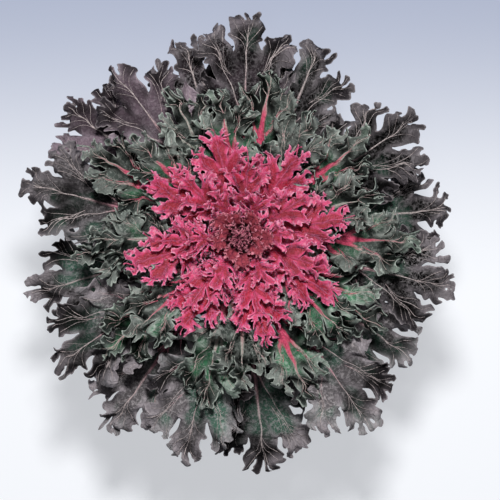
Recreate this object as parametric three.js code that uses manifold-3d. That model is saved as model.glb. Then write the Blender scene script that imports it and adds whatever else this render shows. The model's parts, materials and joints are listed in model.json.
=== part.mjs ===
// An ornamental kale in a plain round nursery pot, as a three.js scene graph.
// Millimetres, +Z up, origin at the centre of the pot's underside.
//
// Seen from above the plant is a rosette: a ring of dark fan-shaped outer leaves in two
// layers, two layers of frilled green leaves, three whorls of deeply cut pink leaves and
// a heart of small furled ones. Every leaf is a separate solid that starts beside the stem.
import * as THREE from "three";
import { mergeVertices } from "three/addons/utils/BufferGeometryUtils.js";
import Module from "manifold-3d";

// ---- driving dimensions --------------------------------------------------------------

const SEAT_GAP = 0.35; // clearance between neighbouring solids that touch in the real thing

const POT = {
  baseRadius: 46,
  baseBevel: 2,
  shoulderRadius: 60, // where the wall meets the rim band
  rimRadius: 65,
  height: 106,
  rimHeight: 16,
  lipHeight: 3,
  lipWidth: 1.5,
  wall: 2.2,
  floor: 2.5,
  sides: 28,
  drainHoles: 5,
  drainRadius: 4.5,
  drainCircle: 30,
};

const SOIL = {
  depthBelowRim: 9,
  wallGap: 0.8, // clearance to the pot's faceted wall
  crown: 1.5, // how far the surface stands above its edge
  lump: 1.6,
  rings: 4,
  sides: 24,
  holeBottom: 62,
};

const STEM = {
  rootZ: 63,
  rootRadius: 7,
  footZ: 81, // where the root has widened to nearly the collar's radius
  footRadius: 11.5,
  collarZ: 99, // level of the soil
  collarRadius: 12.5,
  topZ: 183,
  topRadius: 6.6,
  sides: 18,
};

const BLADE_THICKNESS = 1.1;
const MID_ROW = 0.55; // where a blade's middle row of points lies, from midrib to margin
const VEIN_DEPTH = 0.15; // how much deeper than the margin the blade is at that row
const STALK_RISE = 0.6; // how far the edges of a stalk stand above its middle
const BULGE = 0.1; // how far a lobe's sides curve back towards the stem
const GOLDEN_ANGLE = 137.508; // degrees from one heart leaf to the next

// ---- the whorls of leaves, from the lowest to the topmost -------------------------------
// attachZ               height where the leaves leave the stem
// startAngle, endAngle  elevation of the midribs at the stem and at the nominal reach, degrees
// nominalReach          radius at which the midribs have the end angle
// lift                  how far a leaf may rise or sink from the whorl's own bowl
// petiole               share of a leaf's length before the blade begins
// halfWidth, shoulder   greatest half width of the blade, and how far out it lies
// lobes                 side lobes on each side of the midrib
// cutBase, cutTip       depth of the cuts between lobes, as a share of the lobe's length
// tooth, teeth          depth and number of the teeth on each lobe
// flare                 how far the lobes widen towards their tips
// fold                  how far the two halves of the blade lift from the midrib, in degrees
// frillBase, frillTip   how far lobes bend out of the blade, in degrees
// petioleHalf           half width of the leaf stalk
// rib, ribTip           depth of the midrib's keel at the stem and at the tip
// veinRoot              share of the length where the midrib fans out into the end lobe
// leaves                [heading in degrees anticlockwise from +X, reach from the axis]

const DARK_LEAF = {
  slot: "dark", petiole: 0.27, shoulder: 1.5, lobes: 4, teeth: 3, tooth: 0.16, flare: 0.08,
  cutBase: 0.8, cutTip: 0.52, frillBase: 34, frillTip: 13, veinRoot: 0.7,
};
const GREEN_LEAF = {
  slot: "green", petiole: 0.24, shoulder: 1.4, lobes: 4, teeth: 2, tooth: 0.14, flare: 0.06,
  cutBase: 0.78, cutTip: 0.52, frillBase: 36, frillTip: 22, veinRoot: 0.72,
};
const PINK_LEAF = {
  slot: "pink", petiole: 0.22, shoulder: 1.4, lobes: 3, teeth: 2, tooth: 0.2, flare: 0.05,
  cutBase: 0.75, cutTip: 0.6, frillBase: 26, frillTip: 18, veinRoot: 0.64,
};

const WHORLS = [
  {
    ...DARK_LEAF, name: "outer_low_leaf", attachZ: 121, startAngle: 36, endAngle: -24,
    nominalReach: 180, lift: 8, halfWidth: 44, fold: 6, petioleHalf: 3.4, rib: 5, ribTip: 1.1,
    leaves: [
      [9, 174], [67, 173], [106, 168], [142, 180], [194, 176], [236, 188], [276, 194], [325, 172],
    ],
  },
  {
    ...DARK_LEAF, name: "outer_high_leaf", attachZ: 132, startAngle: 42, endAngle: -18,
    nominalReach: 178, lift: 7, halfWidth: 43, fold: 6, petioleHalf: 3.2, rib: 4.6, ribTip: 1.1,
    leaves: [
      [34, 171], [88, 182], [126, 170], [166, 181], [215, 182], [255, 184], [304, 186], [346, 177],
    ],
  },
  {
    ...GREEN_LEAF, name: "middle_low_leaf", attachZ: 142.5, startAngle: 49, endAngle: -10,
    nominalReach: 142, lift: 6, halfWidth: 29, fold: 8, petioleHalf: 2.8, rib: 4, ribTip: 1,
    leaves: [
      [0, 144], [39, 134], [78, 138], [114, 132], [150, 146],
      [186, 134], [221, 148], [257, 140], [293, 146], [327, 136],
    ],
  },
  {
    ...GREEN_LEAF, name: "middle_high_leaf", attachZ: 152, startAngle: 55, endAngle: -2,
    nominalReach: 120, lift: 5, halfWidth: 28, fold: 8, petioleHalf: 2.6, rib: 3.6, ribTip: 1,
    leaves: [
      [18, 120], [58, 116], [97, 120], [138, 118], [180, 120], [222, 122], [272, 122], [318, 120],
    ],
  },
  {
    ...PINK_LEAF, name: "pink_outer_leaf", attachZ: 160.5, startAngle: 60, endAngle: 5,
    nominalReach: 94, lift: 3.6, halfWidth: 24, fold: 6, petioleHalf: 2.4, rib: 3, ribTip: 0.9,
    leaves: [
      [10, 92], [56, 88], [102, 90], [147, 90], [192, 96], [237, 92], [283, 90], [329, 94],
    ],
  },
  {
    ...PINK_LEAF, name: "pink_middle_leaf", attachZ: 168, startAngle: 65, endAngle: 13,
    nominalReach: 72, lift: 3.4, halfWidth: 20, fold: 6, petioleHalf: 2.2, rib: 2.6, ribTip: 0.9,
    leaves: [[32, 70], [82, 70], [132, 72], [183, 70], [234, 74], [286, 74], [339, 72]],
  },
  {
    ...PINK_LEAF, name: "pink_inner_leaf", attachZ: 174.5, startAngle: 70, endAngle: 24,
    nominalReach: 50, lift: 3, halfWidth: 15, fold: 6, petioleHalf: 2, rib: 2.2, ribTip: 0.9,
    leaves: [[5, 50], [62, 48], [118, 50], [182, 50], [242, 52], [302, 52]],
  },
];

const HEART_LEAF = {
  petiole: 0.2, shoulder: 1.5, lobes: 1, teeth: 2, tooth: 0.15, flare: 0, cutBase: 0.45, cutTip: 0.45,
  frillBase: 14, frillTip: 14, veinRoot: 0.6, lift: 2, fold: 14, petioleHalf: 1.8, rib: 1.4, ribTip: 0.8,
};

const HEART = {
  coreTop: 192,
  coreRadius: 6.2,
  coreTopRadius: 3.2,
  leaves: 10,
  reachOuter: 29,
  reachInner: 9,
  halfWidthOuter: 10,
  halfWidthInner: 3.5,
  startOuter: 72, // elevation of the leaves where they leave the core, degrees
  startInner: 80,
  endOuter: 30, // and at their tips
  endInner: 50,
  rootDepth: 2, // how far their stalks are sunk into the core
  sides: 12,
};

const LOOKS = {
  dark: { color: 0x4a4247, roughness: 0.6 },
  green: { color: 0x4f6b5f, roughness: 0.6 },
  pink: { color: 0xc73f68, roughness: 0.55 },
  heart: { color: 0x8e2a3c, roughness: 0.6 },
  stem: { color: 0x9a7f72, roughness: 0.75 },
  soil: { color: 0x2f241d, roughness: 0.95 },
  pot: { color: 0x2c2d2e, roughness: 0.55 },
};

// ---- small helpers -------------------------------------------------------------------

const radians = (degrees) => (degrees * Math.PI) / 180;
const mix = (a, b, t) => a + (b - a) * t;

/** A repeatable source of numbers from 0 to 1. */
function seededRandom(seed) {
  let state = seed >>> 0;
  return () => {
    state = (state + 0x6d2b79f5) >>> 0;
    let t = Math.imul(state ^ (state >>> 15), state | 1);
    t ^= t + Math.imul(t ^ (t >>> 7), t | 61);
    return ((t ^ (t >>> 14)) >>> 0) / 4294967296;
  };
}

/** Radius of the stem at a height. */
function stemRadius(z) {
  const t = (z - STEM.collarZ) / (STEM.topZ - STEM.collarZ);
  return mix(STEM.collarRadius, STEM.topRadius, t);
}

// ---- one leaf ------------------------------------------------------------------------

/** The bowl that a whorl's leaves lie along: a midrib arc turned about the axis. */
function whorlBowl({ attachZ, startAngle, endAngle, nominalReach }, attachRadius) {
  const start = radians(startAngle);
  const end = radians(endAngle);
  const rootRadius = attachRadius + SEAT_GAP + (BLADE_THICKNESS / 2) * Math.sin(start);
  const bendRadius = (nominalReach - rootRadius) / (Math.sin(end) - Math.sin(start));
  return { attachZ, start, rootRadius, bendRadius };
}

/** Everything that fixes one leaf's form: its kind, place, size and seeded unevenness. */
function leafPlan(kind, bowl, { seed, heading, reach }) {
  const random = seededRandom(seed);
  const uneven = () => 2 * random() - 1;
  const endTilt = Math.asin(Math.sin(bowl.start) + (reach - bowl.rootRadius) / bowl.bendRadius);
  const plan = {
    ...kind, ...bowl, heading: radians(heading),
    length: bowl.bendRadius * (endTilt - bowl.start),
    roll: radians(4 * uneven()),
    sway: 3 * uneven(),
    sides: [],
  };
  const tipBend = uneven();
  for (const side of [1, -1]) {
    const bends = [];
    const twists = [];
    const sizes = [];
    let up = random() < 0.5 ? 1 : -1;
    for (let k = 0; k < kind.lobes; k++) {
      bends.push(up * (0.45 + 0.55 * random()));
      twists.push(uneven());
      sizes.push(1 - 0.12 * random());
      up = -up;
    }
    bends.push(0.6 * tipBend);
    twists.push(0);
    sizes.push(1);
    plan.sides.push({ side, bends, twists, sizes });
  }
  return plan;
}

/** A value given at each lobe's centre, eased from one lobe to the next. */
function alongLobes(values, lobe) {
  const at = Math.min(Math.max(lobe - 0.5, 0), values.length - 1);
  const k = Math.min(Math.floor(at), values.length - 2);
  const f = at - k;
  return mix(values[k], values[k + 1], f * f * (3 - 2 * f));
}

/** How far towards the outline the margin lies at a lobe coordinate: 1 at a lobe's tip. */
function marginShare(plan, edge, lobe) {
  const t = lobe / (plan.lobes + 0.5);
  const within = lobe - Math.floor(lobe);
  const off = Math.abs(within - 0.5) * 2;
  const cut = mix(plan.cutBase, plan.cutTip, t) * Math.pow(off, 5);
  const wave = (1 - Math.cos(2 * Math.PI * plan.teeth * (within - 0.5))) / 2;
  const teeth = plan.tooth * (plan.teeth % 2 ? wave : 1 - wave) * (1 - Math.pow(off, 8));
  return (1 - cut - teeth) * alongLobes(edge.sizes, lobe);
}

/**
 * A point of the leaf's middle surface. lobe runs along the margin, from 0 where the
 * blade begins to lobes + 0.5 at the tip, and share runs from the midrib to the outline.
 */
function bladePoint(plan, edge, lobe, share) {
  const within = lobe - Math.floor(lobe);
  const spread = plan.flare * Math.sin(2 * Math.PI * within) * share;
  const t = Math.min(Math.max((lobe - spread) / (plan.lobes + 0.5), 0), 1);
  const bladeStart = plan.petiole * plan.length;
  const root = mix(bladeStart, plan.veinRoot * plan.length, lobe / (plan.lobes + 0.5));
  const outX = mix(bladeStart, plan.length, (1 - Math.cos(Math.PI * t)) / 2);
  const outY = plan.petioleHalf * (1 - t) + plan.halfWidth * Math.sin(Math.PI * Math.pow(t, plan.shoulder));
  const full = Math.hypot(outX - root, outY);
  const back = BULGE * full * share * (1 - share) * Math.sin(Math.PI * t);
  const dx = (outX - root) * share - back;
  const dy = outY * share;
  const run = Math.hypot(dx, dy);
  const frill = radians(mix(plan.frillBase, plan.frillTip, t));
  const turn =
    radians(plan.fold) * Math.cos((Math.PI / 2) * t) +
    frill * share * (alongLobes(edge.bends, lobe) +
      0.5 * alongLobes(edge.twists, lobe) * Math.sin(2 * Math.PI * within));
  return [root + dx * Math.cos(turn), edge.side * dy * Math.cos(turn), run * Math.sin(turn)];
}

/** Length of the line from the midrib to the outline at a lobe coordinate. */
function lobeReach(plan, lobe) {
  const inner = bladePoint(plan, plan.sides[0], lobe, 0);
  const outer = bladePoint({ ...plan, frillBase: 0, frillTip: 0 }, plan.sides[0], lobe, 1);
  return Math.hypot(outer[0] - inner[0], outer[1] - inner[1]);
}

/** Leaf coordinates (along, across, above the midrib) to the plant's own frame. */
function place(plan, [along, across, above]) {
  const share = along / plan.length;
  const tilt = plan.start + along / plan.bendRadius;
  const out = plan.rootRadius + plan.bendRadius * (Math.sin(tilt) - Math.sin(plan.start));
  const side = across + plan.sway * share * share;
  const radius = Math.hypot(out, side);
  const bowlTilt = Math.asin(Math.sin(plan.start) + (radius - plan.rootRadius) / plan.bendRadius);
  const bowlZ = plan.attachZ - plan.bendRadius * (Math.cos(bowlTilt) - Math.cos(plan.start));
  const rise = plan.lift * Math.tanh((above + across * Math.sin(plan.roll * share)) / plan.lift);
  const turn = plan.heading + Math.atan2(side, out);
  const reach = radius - rise * Math.sin(bowlTilt);
  return new THREE.Vector3(
    reach * Math.cos(turn),
    reach * Math.sin(turn),
    bowlZ + rise * Math.cos(bowlTilt),
  );
}

/** Joins two rows of [vertex index, lobe coordinate] into triangles. */
function stitch(inner, outer, triangles) {
  let i = 0;
  let j = 0;
  while (i < inner.length - 1 || j < outer.length - 1) {
    const innerNext = i < inner.length - 1 ? inner[i + 1][1] : Infinity;
    const outerNext = j < outer.length - 1 ? outer[j + 1][1] : Infinity;
    if (outerNext <= innerNext) {
      triangles.push([inner[i][0], outer[j][0], outer[j + 1][0]]);
      j++;
    } else {
      triangles.push([inner[i][0], outer[j][0], inner[i + 1][0]]);
      i++;
    }
  }
}

/**
 * The middle surface of a leaf as vertices and triangles, with the depth below each
 * vertex. Three rows run out along each side: midrib, mid-blade and toothed margin.
 */
function leafSurface(plan) {
  const points = [];
  const depths = [];
  const rim = BLADE_THICKNESS / 2;
  const add = (position, depth) => {
    points.push(place(plan, position));
    depths.push(depth);
    return points.length - 1;
  };
  const ribDepth = (along) => mix(plan.rib, plan.ribTip, Math.min(along / plan.length / 0.8, 1));
  const last = plan.lobes + 0.5;
  const stops = plan.teeth === 3 ? [0.17, 0.33, 0.5, 0.67, 0.83, 1] : [0.25, 0.5, 0.75, 1];

  const bladeStart = plan.petiole * plan.length;
  const base = add([0, 0, 0], ribDepth(0));
  const halfway = add([bladeStart / 2, 0, 0], ribDepth(bladeStart / 2));
  const midrib = [[add([bladeStart, 0, 0], ribDepth(bladeStart)), 0]];
  for (let k = 0; k < plan.lobes; k++) {
    const at = bladePoint(plan, plan.sides[0], k + 0.5, 0);
    midrib.push([add(at, ribDepth(at[0])), k + 0.5]);
  }
  const fanRoot = bladePoint(plan, plan.sides[0], last, 0);
  midrib.push([add(fanRoot, ribDepth(fanRoot[0])), last]);
  const tipShare = marginShare(plan, plan.sides[0], last);
  const tipMiddle = add(bladePoint(plan, plan.sides[0], last, MID_ROW * tipShare), plan.ribTip);
  const tip = add(bladePoint(plan, plan.sides[0], last, tipShare), rim);

  const triangles = [];
  for (const edge of plan.sides) {
    const half = edge.side * plan.petioleHalf;
    const stalkBase = add([0, half, STALK_RISE], rim);
    const stalkMiddle = add([bladeStart / 2, half, STALK_RISE], rim);
    const margin = [[add(bladePoint(plan, edge, 0, 1), rim), 0]];
    const middle = [[add(bladePoint(plan, edge, 0, MID_ROW), rim + VEIN_DEPTH), 0]];
    for (let k = 0; k <= plan.lobes; k++) {
      for (const stop of stops) {
        const lobe = k + stop;
        if (lobe >= last) break;
        const webbing = plan.petioleHalf / Math.max(lobeReach(plan, lobe), plan.petioleHalf);
        const share = Math.max(marginShare(plan, edge, lobe), webbing);
        margin.push([add(bladePoint(plan, edge, lobe, share), rim), lobe]);
        if (stop === 0.5 || stop === 1) {
          const depth = rim + VEIN_DEPTH;
          middle.push([add(bladePoint(plan, edge, lobe, MID_ROW * share), depth), lobe]);
        }
      }
    }
    margin.push([tip, last]);
    middle.push([tipMiddle, last]);

    const faces = [
      [base, stalkBase, stalkMiddle],
      [base, stalkMiddle, halfway],
      [halfway, stalkMiddle, margin[0][0]],
      [halfway, margin[0][0], middle[0][0]],
      [halfway, middle[0][0], midrib[0][0]],
    ];
    stitch(midrib, middle, faces);
    stitch(middle, margin, faces);
    for (const [a, b, c] of faces) {
      triangles.push(edge.side > 0 ? [a, c, b] : [a, b, c]);
    }
  }
  return { points, depths, triangles };
}

/** Thickens a surface into a closed solid: both faces have the same triangles. */
function thicken({ points, depths, triangles }, thickness) {
  const normals = points.map(() => new THREE.Vector3());
  for (const [a, b, c] of triangles) {
    const face = new THREE.Vector3()
      .subVectors(points[b], points[a])
      .cross(new THREE.Vector3().subVectors(points[c], points[a]));
    for (const i of [a, b, c]) normals[i].add(face);
  }
  normals.forEach((n) => n.normalize());
  const count = points.length;
  const positions = [];
  points.forEach((p, i) => {
    positions.push(...p.clone().addScaledVector(normals[i], thickness / 2));
  });
  points.forEach((p, i) => {
    positions.push(...p.clone().addScaledVector(normals[i], -depths[i]));
  });

  const borders = new Map();
  const index = [];
  for (const [a, b, c] of triangles) {
    index.push(a, b, c, a + count, c + count, b + count);
    for (const [from, to] of [[a, b], [b, c], [c, a]]) {
      if (!borders.delete(`${to},${from}`)) borders.set(`${from},${to}`, [from, to]);
    }
  }
  for (const [from, to] of borders.values()) {
    index.push(from, from + count, to, to, from + count, to + count);
  }
  const geometry = new THREE.BufferGeometry();
  geometry.setAttribute("position", new THREE.Float32BufferAttribute(positions, 3));
  geometry.setIndex(index);
  return geometry;
}

function leafGeometry(plan) {
  return thicken(leafSurface(plan), BLADE_THICKNESS);
}

// ---- solids joined and cut -----------------------------------------------------------

const wasm = await Module();
wasm.setup();

function toSolid(geometry) {
  const bare = new THREE.BufferGeometry();
  bare.setAttribute("position", geometry.getAttribute("position"));
  if (geometry.index) bare.setIndex(geometry.index);
  const merged = mergeVertices(bare, 1e-3);
  return new wasm.Manifold(
    new wasm.Mesh({
      numProp: 3,
      vertProperties: new Float32Array(merged.attributes.position.array),
      triVerts: new Uint32Array(merged.index.array),
    }),
  );
}

function toGeometry(solid) {
  const mesh = solid.getMesh();
  const positions = [];
  for (let i = 0; i < mesh.numVert; i++) {
    positions.push(...mesh.vertProperties.subarray(i * mesh.numProp, i * mesh.numProp + 3));
  }
  const geometry = new THREE.BufferGeometry();
  geometry.setAttribute("position", new THREE.Float32BufferAttribute(positions, 3));
  geometry.setIndex([...mesh.triVerts]);
  return geometry;
}

/** A solid of revolution about +Z from [radius, height] pairs. */
function turned(profile, sides) {
  const outline = profile.map(([radius, height]) => new THREE.Vector2(radius, height));
  return new THREE.LatheGeometry(outline, sides).rotateX(Math.PI / 2);
}

// ---- pot, soil and stem --------------------------------------------------------------

function potGeometry() {
  const bandBottom = POT.height - POT.rimHeight;
  const innerTop = POT.rimRadius - POT.wall;
  const lipBottom = POT.height - POT.lipHeight;
  const profile = [
    [0, 0],
    [POT.baseRadius - POT.baseBevel, 0],
    [POT.baseRadius, POT.baseBevel],
    [POT.shoulderRadius, bandBottom],
    [POT.rimRadius - POT.lipWidth, bandBottom],
    [POT.rimRadius, lipBottom],
    [POT.rimRadius + POT.lipWidth, lipBottom],
    [POT.rimRadius + POT.lipWidth, POT.height],
    [innerTop, POT.height],
    [innerTop - POT.lipWidth, bandBottom + 1],
    [POT.shoulderRadius - POT.wall, bandBottom - 1],
    [POT.baseRadius - POT.wall, POT.floor],
    [0, POT.floor],
  ];
  let pot = toSolid(turned(profile, POT.sides));
  for (let i = 0; i < POT.drainHoles; i++) {
    const turn = (2 * Math.PI * i) / POT.drainHoles;
    const drill = new THREE.CylinderGeometry(POT.drainRadius, POT.drainRadius, 4 * POT.floor, 12)
      .rotateX(Math.PI / 2)
      .translate(POT.drainCircle * Math.cos(turn), POT.drainCircle * Math.sin(turn), 0);
    pot = pot.subtract(toSolid(drill));
  }
  return toGeometry(pot);
}

function soilGeometry() {
  const bandBottom = POT.height - POT.rimHeight;
  const top = POT.height - SOIL.depthBelowRim;
  const crownZ = top + SOIL.crown;
  const outer = POT.shoulderRadius - POT.wall - SOIL.wallGap;
  const holeRadius = STEM.collarRadius + SEAT_GAP;
  const profile = [
    [0, POT.floor + SEAT_GAP],
    [POT.baseRadius - POT.wall - SOIL.wallGap, POT.floor + SEAT_GAP],
    [outer, bandBottom - 2],
    [outer, top],
  ];
  for (let ring = 1; ring <= SOIL.rings; ring++) {
    profile.push([mix(outer, holeRadius, ring / SOIL.rings), crownZ]);
  }
  profile.push([holeRadius, SOIL.holeBottom], [0, SOIL.holeBottom]);
  const geometry = turned(profile, SOIL.sides);
  const position = geometry.getAttribute("position");
  for (let i = 0; i < position.count; i++) {
    const [x, y, z] = [position.getX(i), position.getY(i), position.getZ(i)];
    const distance = Math.hypot(x, y);
    const lump = SOIL.lump * Math.sin(0.31 * x + 1) * Math.sin(0.27 * y + 0.1 * distance);
    if (z > top && distance > holeRadius + 1) position.setZ(i, z + lump);
  }
  return geometry;
}

function stemGeometry() {
  const profile = [
    [0, STEM.rootZ],
    [STEM.rootRadius, STEM.rootZ],
    [STEM.footRadius, STEM.footZ],
    [STEM.collarRadius, STEM.collarZ],
    [STEM.topRadius, STEM.topZ],
    [0, STEM.topZ],
  ];
  return turned(profile, STEM.sides);
}

/** The growing tip: a short core with small furled leaves joined to it. */
function heartGeometry() {
  const foot = STEM.topZ + SEAT_GAP;
  const core = turned(
    [
      [0, foot],
      [HEART.coreRadius, foot],
      [HEART.coreTopRadius, HEART.coreTop - 2],
      [0, HEART.coreTop],
    ],
    HEART.sides,
  );
  let heart = toSolid(core);
  for (let i = 0; i < HEART.leaves; i++) {
    const t = i / (HEART.leaves - 1);
    const reach = mix(HEART.reachOuter, HEART.reachInner, t);
    const kind = { ...HEART_LEAF, halfWidth: mix(HEART.halfWidthOuter, HEART.halfWidthInner, t) };
    const bowl = whorlBowl(
      {
        attachZ: mix(foot + 1, HEART.coreTop - 6, t),
        startAngle: mix(HEART.startOuter, HEART.startInner, t),
        endAngle: mix(HEART.endOuter, HEART.endInner, t),
        nominalReach: reach,
      },
      mix(HEART.coreRadius, HEART.coreTopRadius, t) - HEART.rootDepth,
    );
    const plan = leafPlan(kind, bowl, { seed: 900 + i, heading: i * GOLDEN_ANGLE, reach });
    heart = heart.add(toSolid(leafGeometry(plan)));
  }
  return toGeometry(heart);
}

// ---- the plant -----------------------------------------------------------------------

const plant = new THREE.Group();

function addPiece(name, geometry, slot) {
  const material = new THREE.MeshStandardMaterial({ ...LOOKS[slot], metalness: 0 });
  material.name = slot;
  const mesh = new THREE.Mesh(geometry, material);
  mesh.name = name;
  plant.add(mesh);
}

addPiece("pot", potGeometry(), "pot");
addPiece("soil", soilGeometry(), "soil");
addPiece("stem", stemGeometry(), "stem");
WHORLS.forEach((whorl, layer) => {
  const bowl = whorlBowl(whorl, stemRadius(whorl.attachZ - 2));
  whorl.leaves.forEach(([heading, reach], i) => {
    const plan = leafPlan(whorl, bowl, { seed: 100 * (layer + 1) + i, heading, reach });
    const number = String(i + 1).padStart(2, "0");
    addPiece(`${whorl.name}_${number}`, leafGeometry(plan), whorl.slot);
  });
});
addPiece("heart", heartGeometry(), "heart");

export default plant;
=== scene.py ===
"""The looks of an ornamental kale in its nursery pot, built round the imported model.

Each leaf is rebuilt from the same plan as its solid, with finer lobes, finger-like teeth,
ruffled margins, raised veins and a rounded stalk. Lengths are in millimetres until a mesh
is made, which is in metres, in the model's own frame.
"""

import json
import math
from types import SimpleNamespace

import bpy
import numpy as np
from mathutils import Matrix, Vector, noise

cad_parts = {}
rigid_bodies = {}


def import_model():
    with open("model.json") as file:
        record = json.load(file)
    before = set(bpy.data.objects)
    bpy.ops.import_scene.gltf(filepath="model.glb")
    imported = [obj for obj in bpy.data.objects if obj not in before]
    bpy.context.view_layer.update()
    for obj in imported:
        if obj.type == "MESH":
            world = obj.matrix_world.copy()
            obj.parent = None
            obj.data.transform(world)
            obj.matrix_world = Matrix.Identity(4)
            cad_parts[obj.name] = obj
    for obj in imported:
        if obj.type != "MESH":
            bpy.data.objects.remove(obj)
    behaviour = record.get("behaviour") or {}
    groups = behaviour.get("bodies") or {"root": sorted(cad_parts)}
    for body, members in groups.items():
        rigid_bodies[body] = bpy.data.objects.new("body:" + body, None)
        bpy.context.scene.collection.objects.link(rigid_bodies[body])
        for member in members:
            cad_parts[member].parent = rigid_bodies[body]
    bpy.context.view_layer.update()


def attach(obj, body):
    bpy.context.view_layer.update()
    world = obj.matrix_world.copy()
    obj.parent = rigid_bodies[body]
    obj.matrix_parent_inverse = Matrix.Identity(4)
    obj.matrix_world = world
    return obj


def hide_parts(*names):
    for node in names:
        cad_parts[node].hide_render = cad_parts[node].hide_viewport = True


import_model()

MM = 0.001

# ---- the plant's plan, as in the model's source ----

SEAT_GAP = 0.35
SOLID_THICKNESS = 1.1  # of the leaf solids, which sets where their roots begin
GOLDEN_ANGLE = 137.508
BULGE = 0.1  # how far a lobe's ray bows back towards the stalk, as a share of its length
STEM_COLLAR_Z, STEM_COLLAR_RADIUS = 99.0, 12.5
STEM_TOP_Z, STEM_TOP_RADIUS = 183.0, 6.6
ROOT_DROP = 2  # a leaf is seated by the stem's radius this far below its root
MOST_ROLL, MOST_SWAY = 4, 3  # of a leaf at its tip: degrees, and millimetres
LEAST_CUT, LEAST_PALM = 0.12, 0.15  # of a ray: the cut between lobes, and the blade inside it

# Fine form, beyond what the solids hold. The blade's lobes are edged with fingers, a finger_gap
# apart, and a finger ends in teeth. Lengths, ruffle heights and their waves are millimetres.

DARK_LEAF = dict(
    slot="dark_leaf", petiole=0.27, shoulder=1.5, lobes=4, cut_base=0.04, cut_tip=0.26, cut_power=2.6,
    frill_base=34, frill_tip=13, vein_root=0.7, veins=True, step=1.1, web=1.4, forward=0.3,
    finger_gap=6.4, finger_length=10.5, finger_radius=2.0, finger_taper=0.95,
    tooth_length=3.2, tooth_radius=1.15, tooth_turn=50,
    ruffle=3.0, ruffle_depth=8.0, wave=15, swell=2.2, finger_curl=2.6, puff=1.0, puff_width=3.4,
    drift=1.4, vein_lean=0.3, leaflets=(0.7, 1.3), leaflet_length=15,
)
GREEN_LEAF = dict(
    slot="green_leaf", petiole=0.24, shoulder=1.4, lobes=4, cut_base=0.06, cut_tip=0.32, cut_power=2.4,
    frill_base=36, frill_tip=22, vein_root=0.72, veins=True, step=0.94, web=0.8, forward=0.5,
    finger_gap=5.2, finger_length=10.5, finger_radius=1.5, finger_taper=0.85,
    tooth_length=3.2, tooth_radius=0.75, tooth_turn=44,
    ruffle=3.6, ruffle_depth=7.0, wave=12, swell=2.4, finger_curl=3.6, puff=0.8, puff_width=2.8,
    drift=1.8, vein_lean=0.3, leaflets=(0.55, 0.9), leaflet_length=14,
)
PINK_LEAF = dict(
    slot="pink_leaf", petiole=0.22, shoulder=1.4, lobes=3, cut_base=0.24, cut_tip=0.34, cut_power=2.2,
    frill_base=26, frill_tip=18, vein_root=0.64, veins=True, step=0.66, web=0.5, forward=0.4,
    finger_gap=4.0, finger_length=9.5, finger_radius=1.2, finger_taper=0.6,
    tooth_length=3.2, tooth_radius=0.36, tooth_turn=34,
    ruffle=1.3, ruffle_depth=4.0, wave=8, swell=0.8, finger_curl=1.6, puff=0.3, puff_width=2.0,
    drift=1.2, vein_lean=0.25, leaflets=(0.7,), leaflet_length=8,
)

# A leaf is [heading, reach, tint, lightness]. A tint below 0 turns it violet, and a high one makes it
# lighter, greener and more flushed: without one it is drawn. The lightness lightens the whole leaf, or
# darkens it below 0. It is partly the leaf's own tone and partly painted light: mostly darker on the
# half of the plant towards the key light, and lighter on the far half.

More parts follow.
